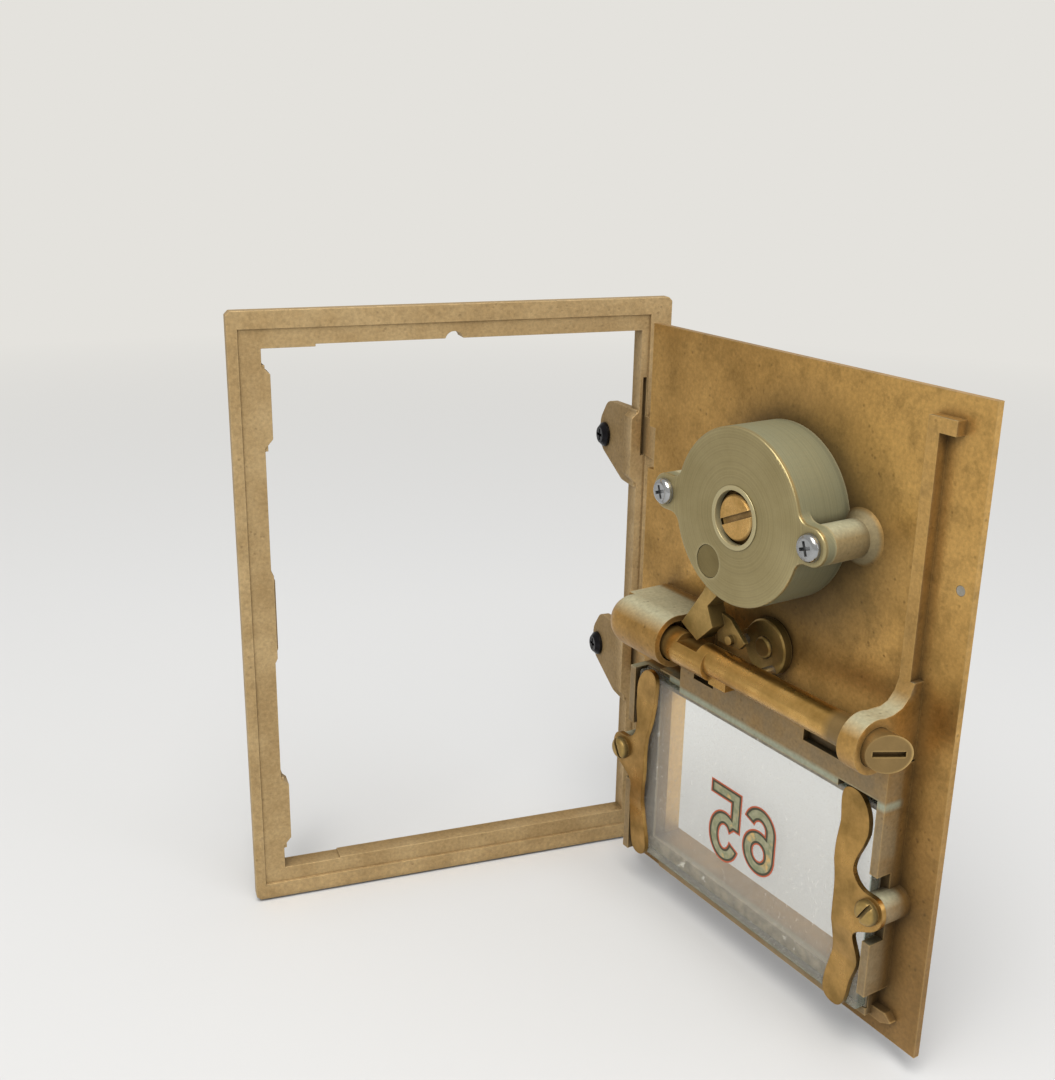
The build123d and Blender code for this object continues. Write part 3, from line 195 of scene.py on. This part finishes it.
# ---------------------------------------------------------------- the door casting
# The door is cast in the same brass, handled for decades. Its back is golden brown with a fine cast
# grain. The rail, the rims and whatever faces up have a grey skin of dust and old paste.
OPEN = math.radians(103.0)
HINGE = Vector((43.0, -8.0, 0.0)) * MM
REAR = -2.4 * MM
LOCK_Z = 31.4 * MM
BOLT_Z = 1.25 * MM
GLASS_TOP_Z = -11.4 * MM
JAMB_X = 29.2 * MM
JAMB_Z = -32.85 * MM
JAMB_HALF_H = 18.3 * MM
# where each layer of the skin begins and where it is full, on the shut door
RAISED_HEIGHT = (1.2 * MM, 2.6 * MM)
# the gold layer is a painted sheen, and the brown low down is partly painted shade
SHEEN_Z = (-5.0 * MM, 45.0 * MM)
SHEEN_X = (15.0 * MM, -30.0 * MM)
BROWN_Z = (4.0 * MM, -34.0 * MM)
# the reach of a painted shadow that the lock case casts on the plate
CASE_SHADOW_REACH = (28.0 * MM, 17.0 * MM)
BOSS_REACH = 26.0 * MM
BOSS_HEIGHT = (0.1 * MM, 0.6 * MM)
# the rib's sides are greyed as a painted reflection
RIB_X = (-24.0 * MM, -26.0 * MM)
RIB_FROM_BOLT = (6.0 * MM, 8.0 * MM)
GREY_Z = (-3.0 * MM, -5.5 * MM)
GREEN_FROM_GLASS = (1.1 * MM, 0.3 * MM)
JAMB_REACH = (0.3 * MM, 0.15 * MM)
JAMB_DEPTH = (-0.1 * MM, -0.4 * MM)


def shut(tree, place):
    """Object place turned back to the shut door: x from the doorway's middle, height over the plate, z up."""
    back = Matrix.Rotation(-OPEN, 3, "Z")
    offset = HINGE - back @ HINGE - Vector((0, REAR, 0))
    turned = add(tree, "Mapping", Vector=place, Location=offset, Rotation=(0, 0, -OPEN))
    return list(add(tree, "SeparateXYZ", turned).node.outputs)


def from_case(tree, x, z, aside_mm=0.0, down_mm=0.0):
    """Distance from the lock case's axis, or from a place beside it, as seen on the plate."""
    here = add(tree, "CombineXYZ", X=x, Z=z)
    middle = (-aside_mm * MM, 0, LOCK_Z - down_mm * MM)
    return add(tree, "VectorMath", here, middle, operation="DISTANCE", out="Value")


def off(tree, value, middle):
    """How far a value lies from a middle, either way."""
    return add(tree, "ABSOLUTE", add(tree, "SUBTRACT", value, middle))


def facing(tree):
    """How squarely a surface of the door looks out from the door's back: 1 on top, 0 on a side."""
    outward = (-math.sin(OPEN), math.cos(OPEN), 0)
    return add(tree, "VectorMath", add(tree, "TexCoord", out="Normal"), outward, operation="DOT_PRODUCT",
               out="Value")


def door_skin(tree, place):
    """Gold at the top, a painted sheen; brown low down, partly tarnish and partly painted shade; a painted
    shadow beside the case; grey skin on all that stands up, and a painted reflection on the rib's sides.
    """
    x, height, z = shut(tree, place)
    raised = add(tree, "MapRange", height, *RAISED_HEIGHT)
    # painted sheen: lighter gold towards the top and the free side
    gold = add(tree, "MULTIPLY", add(tree, "MapRange", z, *SHEEN_Z, 0.0, 0.75),
               add(tree, "MapRange", x, *SHEEN_X))
    # brown towards the bottom, partly tarnish and partly painted shade
    brown = add(tree, "MapRange", z, *BROWN_Z, 0.0, 0.75)
    clouds = add(tree, "TexNoise", Vector=place, Scale=1 / (5.0 * MM), Detail=6, Roughness=0.7)
    clouds = add(tree, "MapRange", clouds, 0.5, 0.66, 0.0, 0.35)
    # a painted shadow of the lock case on the plate, a little to its free side and below it
    beside = from_case(tree, x, z, aside_mm=4.0, down_mm=2.0)
    case_shadow = add(tree, "MULTIPLY", add(tree, "MapRange", beside, *CASE_SHADOW_REACH, 0.0, 0.75),
               add(tree, "MapRange", raised, 1.0, 0.0))
    # the bosses under the case's lugs
    boss = add(tree, "MULTIPLY", add(tree, "LESS_THAN", from_case(tree, x, z), BOSS_REACH),
               add(tree, "MapRange", height, *BOSS_HEIGHT))
    # the rail and the rims grey in patches, and the rib clear of the bolt's eye grey, full on its sides as a
    # painted reflection
    rib = add(tree, "MULTIPLY", add(tree, "MapRange", x, *RIB_X),
              add(tree, "MapRange", off(tree, z, BOLT_Z), *RIB_FROM_BOLT))
    rib = add(tree, "MULTIPLY", rib, add(tree, "MapRange", facing(tree), 0.9, 0.4, 0.3, 1.0))
    lumps = add(tree, "TexNoise", Vector=place, Scale=1 / (6.0 * MM), Detail=4, Roughness=0.6)
    grey = add(tree, "MULTIPLY", raised, add(tree, "MAXIMUM", add(tree, "MapRange", z, *GREY_Z), rib))
    grey = add(tree, "MULTIPLY", grey, add(tree, "MapRange", lumps, 0.3, 0.6, 0.5, 0.95))
    # dust on what faces up, and green at the glass's top edge
    upward = add(tree, "SeparateXYZ", add(tree, "NewGeometry", out="Normal"), out="Z")
    dust = add(tree, "MULTIPLY", add(tree, "MapRange", upward, 0.45, 0.9, 0.0, 0.85), raised)
    green = add(tree, "MapRange", off(tree, z, GLASS_TOP_Z), *GREEN_FROM_GLASS, 0.0, 0.75)
    # the window's wall on the hinge side, a lighter gold with its full shine
    jamb = add(tree, "MULTIPLY", add(tree, "MapRange", off(tree, x, JAMB_X), *JAMB_REACH),
               add(tree, "LESS_THAN", off(tree, z, JAMB_Z), JAMB_HALF_H))
    jamb = add(tree, "MULTIPLY", jamb, add(tree, "MapRange", height, *JAMB_DEPTH))
    cover = grey
    for layer in (dust, boss, case_shadow, brown):
        cover = add(tree, "MAXIMUM", cover, layer)
    # of these layers the gold is a painted sheen, the darkest brown by the case a painted shadow, the rib's
    # grey sides a painted reflection, and the low brown partly painted shade
    layers = [(gold, "#d8ad66"), (brown, "#77592f"), (clouds, "#6b552b"), (case_shadow, "#54431f"),
              (add(tree, "MULTIPLY", boss, 0.85), "#857c5e"), (grey, "#8d7b5c"), (dust, "#abad95"),
              (add(tree, "MULTIPLY", green, raised), "#a9b3a0"), (jamb, "#dcb374")]
    return layers, add(tree, "MULTIPLY", cover, add(tree, "SUBTRACT", 1.0, jamb))


door_brass = metal("aged_door_brass", "#a58147", "#caa05e", "#35270f", rough=(0.32, 0.46), grain_mm=0.7,
                   depth_mm=0.06, tint=0.7, blotch_mm=20.0, pocket_mm=6.0, corner_darkness=0.9, edge="#c2a268",
                   pits=0.35, skin=door_skin, seed=0.3, shine=0.92)
finish_cad(["door_plate"], door_brass, edge_mm=0.35, segments=3)

# ---------------------------------------------------------------- edge rivet
# A small steel rivet through the plate near its free edge, hammered flush. It shows as a grey spot
# on the brass.
finish_cad(["edge_rivet"], steel, edge_mm=0.1)

# ---------------------------------------------------------------- wheel pack
# Turned brass: the tumbler wheels and their spacers sit loose on the post, and the spindle carries
# the driver. The case hides all but the spindle's screw, which is rubbed bright.
shaft = metal("turned_brass", "#a07c42", "#c79a57", "#4a3a1c", rough=(0.28, 0.42), seed=2.0)
finish_cad(["wheel_post", "wheel_spacers", "tumbler_wheel_1", "tumbler_wheel_2", "tumbler_wheel_3",
            "driver_wheel", "dial_spindle"], shaft, edge_mm=0.12)
bright_brass = metal("bright_brass", "#bb9454", "#eac07a", "#2b2010", rough=(0.22, 0.36), grain_mm=0.5,
                     depth_mm=0.008, tint=0.3, blotch_mm=4.0, pocket_mm=1.5, corner_darkness=0.9, edge="#dcb878",
                     seed=1.4)
finish_cad(["spindle_screw"], bright_brass, edge_mm=0.15)

# ---------------------------------------------------------------- lock case
# A turned brass cover, held by its two lugs, with an eyelet and a plug in its holes. It has gone a
# dull olive. The lathe's fine lines are drawn coarser than they are, so that they show.
LATHE_LINE_MM = 0.4
CASE_SIDE_HEIGHT = (11.6 * MM, 11.0 * MM)


def lathe_lines(tree, place, grain):
    """Relief of rings round the case's middle, and of bands round its side."""
    x, height, z = shut(tree, place)
    along = add(tree, "MULTIPLY", add(tree, "ADD", from_case(tree, x, z), height), 1 / (LATHE_LINE_MM * MM))
    rings = add(tree, "TexNoise", W=along, Scale=1.0, Detail=3, Roughness=0.7, noise_dimensions="1D")
    return add(tree, "MULTIPLY_ADD", grain, 0.25, add(tree, "MULTIPLY", rings, 0.75))


def case_skin(tree, place):
    """Grey-green on the case's side, below its face, partly tarnish and partly a painted grey sheen."""
    side = add(tree, "MapRange", shut(tree, place)[1], *CASE_SIDE_HEIGHT)
    return [(side, "#84846a")], add(tree, "MULTIPLY", side, 0.8)


cap_brass = metal("turned_cap_brass", "#95885f", "#a5986f", "#3c341f", rough=(0.3, 0.42), grain_mm=0.35,
                  depth_mm=0.03, tint=0.65, blotch_mm=18.0, pocket_mm=2.0, edge="#cfc59c", wear_mm=1.0,
                  skin=case_skin, groove=lathe_lines, seed=0.8, shine=0.75)
finish_cad(["lock_cap", "cap_eyelet"], cap_brass, edge_mm=0.3, segments=3)
plug_brass = metal("plug_brass", "#75673f", "#897b50", "#332b18", rough=(0.3, 0.42), grain_mm=0.35, tint=0.4,
                   depth_mm=0.02, edge="#c6bd94", groove=lathe_lines, shine=0.75)
finish_cad(["cap_plug"], plug_brass, edge_mm=0.2, segments=3)

# ---------------------------------------------------------------- cap screws
# Two cross-recessed machine screws of plated steel hold the case's lugs. Their smooth plating mirrors
# the room in greys.
chrome = metal("plated_steel", "#8f9192", "#babbbb", "#303134", rough=(0.14, 0.28), grain_mm=0.6,
               depth_mm=0.01, tint=0.2, pocket_mm=1.2)
finish_cad(["cap_screws"], chrome, edge_mm=0.12)

# ---------------------------------------------------------------- dial
# The knob and its ring are polished brass on the door's front, the knob fixed to the spindle. The
# ring's lines are cut and filled with black paint.
finish_cad(["dial_ring", "dial_knob"], bright_brass, edge_mm=0.15)
dial_black = metal("black_paint", "#101010", "#181818", "#080808")
finish_cad(["dial_marks"], dial_black, edge_mm=0.02)

# ---------------------------------------------------------------- latch knob, spindle and cam
# The rosette and thumb-turn on the front are polished. The cam at the door's back is cut from brass
# plate, with riveted steel pins, and its sides are darker than its rubbed face.
finish_cad(["latch_rosette", "latch_knob"], bright_brass, edge_mm=0.2)


def side_skin(tree, place):
    """Dark olive tarnish on the sides, where no hand or other piece rubs."""
    side = add(tree, "MapRange", facing(tree), 0.8, 0.4, 0.0, 0.8)
    return [(side, "#574b28")], add(tree, "MULTIPLY", side, 0.7)


dull_brass = metal("dull_lever_brass", "#907a46", "#bd9d60", "#2a210f", rough=(0.32, 0.46), grain_mm=0.5,
                   depth_mm=0.012, tint=0.3, blotch_mm=6.0, pocket_mm=3.0, edge="#bfa068", skin=side_skin,
                   seed=2.6, shine=0.9)
finish_cad(["latch_spindle", "latch_cam"], dull_brass, edge_mm=0.2)
finish_cad(["cam_drive_pin", "cam_stop_pin"], steel, edge_mm=0.1)

# ---------------------------------------------------------------- latch bolt
# A drawn brass rod in the barrel and the eye, polished by its own sliding, with fine lines along it.
# Its outer end has a grey-brown tarnish.
DRAWN_LINE_MM = 0.12
TIP_X = (-26.0 * MM, -28.0 * MM)


def drawn_lines(tree, place, grain):
    """Relief of fine lines along the rod."""
    x, height, z = shut(tree, place)
    stretched = add(tree, "CombineXYZ", add(tree, "MULTIPLY", x, 0.02), height, z)
    lines = add(tree, "TexNoise", Vector=stretched, Scale=1 / (DRAWN_LINE_MM * MM), Detail=2, Roughness=0.6)
    return add(tree, "MULTIPLY_ADD", grain, 0.4, add(tree, "MULTIPLY", lines, 0.6))


def tip_skin(tree, place):
    """Grey-brown tarnish on the bolt's outer end, past the eye."""
    tip = add(tree, "MapRange", shut(tree, place)[0], *TIP_X, 0.0, 0.8)
    return [(tip, "#6f5d3c")], add(tree, "MULTIPLY", tip, 0.6)


rod_brass = metal("drawn_rod_brass", "#aa8648", "#d8ad66", "#35270f", rough=(0.24, 0.34), grain_mm=0.5,
                  depth_mm=0.004, tint=0.25, blotch_mm=7.0, pocket_mm=2.5, edge="#dab877", groove=drawn_lines,
                  skin=tip_skin, seed=3.1)
finish_cad(["latch_bolt"], rod_brass, edge_mm=0.15)

# ---------------------------------------------------------------- bolt spring
# Drawn steel wire, coiled and put in the barrel, where it pushes the bolt out. It is grey and smooth,
# and out of sight.
finish_cad(["bolt_spring"], steel, edge_mm=0.02)

# ---------------------------------------------------------------- fence lever
# A flat lever cut from brass plate, turning on a pin riveted to the door. Its face is bright and its
# sides are tarnished, as the cam's are.
finish_cad(["fence_lever", "lever_pin"], dull_brass, edge_mm=0.2)

# ---------------------------------------------------------------- window bedding
# Old glazing paste laid in the rebate under the glass. It is grey-brown, dry and dull, and white
# where it has crumbled afresh.
putty, tree, shader = new_material("old_putty")
place = add(tree, "TexCoord", out="Object")
lumps = add(tree, "TexNoise", Vector=place, Scale=1 / (2.2 * MM), Detail=4, Roughness=0.6)
fresh = add(tree, "TexNoise", Vector=place, Scale=1 / (5.0 * MM), Detail=6, Roughness=0.75)
colour = laid_over(tree, "#6a604f", (add(tree, "MapRange", lumps, 0.35, 0.65), "#938873"),
                   (add(tree, "MapRange", fresh, 0.6, 0.68), "#eeebe4"))
tree.links.new(colour, shader.inputs["Base Color"])
shader.inputs["Roughness"].default_value = 0.8
finish_cad(["window_seal"], putty, edge_mm=0.05)

# ---------------------------------------------------------------- window pane
# Clear glass with a little dust, green at its ground edges. Thin as it is, it hardly bends the view,
# so it is a see-through tint under a mirror that grows towards grazing angles.
PANE_Z = -33.1 * MM
PANE_HALF_W = 34.0 * MM
PANE_HALF_H = 20.9 * MM
glass, tree, shader = new_material("window_glass")
place = add(tree, "TexCoord", out="Object")
x, _, z = shut(tree, place)
side = add(tree, "MapRange", off(tree, x, 0.0), PANE_HALF_W - 0.5 * MM, PANE_HALF_W - 0.1 * MM)
end = add(tree, "MapRange", off(tree, z, PANE_Z), PANE_HALF_H - 0.5 * MM, PANE_HALF_H - 0.1 * MM)
tinted = laid_over(tree, "#fefffe", (add(tree, "MAXIMUM", side, end), "#b9cbbf"))
mirror = add(tree, "LayerWeight", Blend=0.06, out="Fresnel")
clean = add(tree, "MixShader", mirror, add(tree, "BsdfTransparent", Color=tinted),
            add(tree, "BsdfGlossy", Color="#ffffff", Roughness=0.06))
specks = add(tree, "TexNoise", Vector=place, Scale=1 / (0.7 * MM), Detail=5, Roughness=0.8)
shader.inputs["Base Color"].default_value = linear("#f8f4ec")
shader.inputs["Roughness"].default_value = 0.7
dusty = add(tree, "MixShader", add(tree, "MapRange", specks, 0.55, 0.78, 0.13, 0.45), clean,
            shader.outputs["BSDF"])
tree.links.new(dusty, tree.nodes["Material Output"].inputs["Surface"])
finish_cad(["window_pane"], glass, edge_mm=0.1)

# ---------------------------------------------------------------- window number
# Two foil figures stuck on the glass, sage grey and rubbed to gold in spots, each with a dark line
# round it and a red one outside that.
LINE_THICK_MM = 0.04
paint, tree, shader = new_material("number_foil")
place = add(tree, "TexCoord", out="Object")
lumps = add(tree, "TexNoise", Vector=place, Scale=1 / (1.4 * MM), Detail=4, Roughness=0.6)
rubbed = add(tree, "TexNoise", Vector=place, Scale=1 / (3.0 * MM), Detail=4, Roughness=0.6)
colour = laid_over(tree, "#7f8465", (add(tree, "MapRange", lumps, 0.4, 0.62), "#9d9b7e"),
                   (add(tree, "MapRange", rubbed, 0.56, 0.66), "#c8a76a"))
tree.links.new(colour, shader.inputs["Base Color"])
shader.inputs["Roughness"].default_value = 0.5
finish_cad(["window_number"], paint, edge_mm=0.01)


def plain(name, code):
    """A flat paint."""
    made, _, shader = new_material(name)
    shader.inputs["Base Color"].default_value = linear(code)
    shader.inputs["Roughness"].default_value = 0.5
    return made


def outline_strip(name, material, outside_mm, width_mm, lift_mm):
    """A flat line that follows the figures' edges, drawn over the figures' outer face."""
    back = Matrix.Translation(HINGE) @ Matrix.Rotation(-OPEN, 4, "Z") @ Matrix.Translation(-HINGE)
    shape = bmesh.new()
    shape.from_mesh(nodes["window_number"].data)
    bmesh.ops.remove_doubles(shape, verts=shape.verts, dist=0.002 * MM)
    bmesh.ops.transform(shape, matrix=back, verts=shape.verts)
    top = max(v.co.y for v in shape.verts)
    rim = [e for e in shape.edges if all(abs(v.co.y - top) < 0.02 * MM for v in e.verts)
           and sum(1 for f in e.link_faces if abs(f.normal.y) > 0.9) == 1]
    strip = bmesh.new()
    ends = {}
    for edge in rim:
        wall = [f for f in edge.link_faces if abs(f.normal.y) < 0.5]
        for v in edge.verts:
            ends.setdefault(v, []).append(wall[0].normal.copy())
    points = {}
    for v, normals in ends.items():
        out = sum(normals, Vector()).normalized()
        stretch = 1 / max(0.5, out.dot(normals[0].normalized()))
        base = Vector((v.co.x, top + lift_mm * MM, v.co.z))
        points[v] = [strip.verts.new(base + out * stretch * d * MM)
                     for d in (outside_mm, outside_mm + width_mm)]
    for edge in rim:
        a, b = edge.verts
        strip.faces.new((points[a][0], points[b][0], points[b][1], points[a][1]))
    bmesh.ops.recalc_face_normals(strip, faces=strip.faces)
    made = bmesh.ops.extrude_face_region(strip, geom=strip.faces[:])
    moved = [v for v in made["geom"] if isinstance(v, bmesh.types.BMVert)]
    bmesh.ops.translate(strip, verts=moved, vec=(0, LINE_THICK_MM * MM, 0))
    bmesh.ops.recalc_face_normals(strip, faces=strip.faces)
    bmesh.ops.transform(strip, matrix=back.inverted(), verts=strip.verts)
    mesh = bpy.data.meshes.new(name)
    strip.to_mesh(mesh)
    strip.free()
    shape.free()
    mesh.materials.append(material)
    line = bpy.data.objects.new(name, mesh)
    bpy.context.collection.objects.link(line)
    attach(line, "door")


outline_strip("number_dark_line", plain("dark_line", "#3c3a26"), -0.45, 0.45, -0.01)
outline_strip("number_red_line", plain("red_line", "#b5532e"), 0.0, 0.3, -0.01)

# ---------------------------------------------------------------- window clips
# Two wavy leaves of sheet brass, bent to spring on the glass, each held by one slotted screw. They
# are polished, with browner edges where they were sheared.
clip_brass = metal("sheet_brass", "#90723e", "#bd9557", "#3a2b12", rough=(0.26, 0.4), grain_mm=0.5,
                   depth_mm=0.01, tint=0.3, blotch_mm=6.0, pocket_mm=1.5, corner_darkness=0.5, edge="#77592c", seed=4.0)
finish_cad(["window_clip_free_side", "window_clip_hinge_side"], clip_brass, edge_mm=0.15)
finish_cad(["clip_screws"], dull_brass, edge_mm=0.12)

# ---------------------------------------------------------------- floor and backdrop
# A flat sheet of pale paper just below the part. It is a floor near the part, takes its soft shadow, and
# runs out into the backdrop's own colour.
BACK = "#e4e2dd"
FLOOR_WIDTH = 8.0
FLOOR_DROP = 0.5 * MM
FLOOR_FADE = (0.22, 0.75)


def seen_plainly(tree):
    """1 for what the camera sees, straight or through the glass, and 0 for all other light."""
    straight = add(tree, "LightPath", out="Is Camera Ray")
    return add(tree, "MAXIMUM", straight, add(tree, "LightPath", out="Is Transmission Ray"))


bpy.ops.mesh.primitive_plane_add(size=FLOOR_WIDTH, location=(0, 0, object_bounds()[0].z - FLOOR_DROP))
floor = bpy.context.object
floor.name = "floor"
paper, tree, shader = new_material("pale_paper")
shader.inputs["Base Color"].default_value = linear("#c9ccd0")
shader.inputs["Roughness"].default_value = 0.9
away = add(tree, "VectorMath", add(tree, "TexCoord", out="Object"), operation="LENGTH", out="Value")
fade = add(tree, "MULTIPLY", add(tree, "MapRange", away, *FLOOR_FADE), seen_plainly(tree))
blend = add(tree, "MixShader", fade, shader.outputs["BSDF"], add(tree, "Emission", Color=BACK, Strength=1.0))
tree.links.new(blend, tree.nodes["Material Output"].inputs["Surface"])
floor.data.materials.append(paper)

# ---------------------------------------------------------------- light and camera
# A wide lamp overhead to the left, a weaker fill from the right, and a pale room all round. The
# camera stands where the corners of the frame and of the open door fall as in the photograph.
world = bpy.data.worlds.new("studio")
bpy.context.scene.world = world
world.use_nodes = True
tree = world.node_tree
tree.nodes.clear()
room = add(tree, "Background", Color="#f4f2ee", Strength=0.68)
backdrop = add(tree, "Background", Color=BACK, Strength=1.0)
add(tree, "OutputWorld", Surface=add(tree, "MixShader", seen_plainly(tree), room, backdrop))


def softbox(name, place, size, watts, colour):
    """A square lamp that looks at the part's middle."""
    lamp = bpy.data.lights.new(name, "AREA")
    lamp.shape = "SQUARE"
    lamp.size = size
    lamp.energy = watts
    lamp.color = linear(colour)[:3]
    made = bpy.data.objects.new(name, lamp)
    bpy.context.collection.objects.link(made)
    made.location = place
    made.rotation_mode = "QUATERNION"
    made.rotation_quaternion = (-Vector(place)).to_track_quat("-Z", "Y")


softbox("key", place=(-0.3, -0.5, 1.1), size=0.9, watts=16.5, colour="#fff9f0")
softbox("fill", place=(0.9, -0.8, 0.5), size=0.8, watts=3.0, colour="#f4f7ff")

lens = bpy.data.cameras.new("camera")
lens.lens = 43.775
lens.sensor_width = 36.0
lens.clip_start = 0.01
camera = bpy.data.objects.new("camera", lens)
bpy.context.collection.objects.link(camera)
camera.location = (-0.074735, -0.252938, 0.100362)
camera.rotation_euler = [math.radians(a) for a in (71.815, -0.928, -19.350)]
bpy.context.scene.camera = camera
bpy.context.scene.view_settings.view_transform = "Standard"
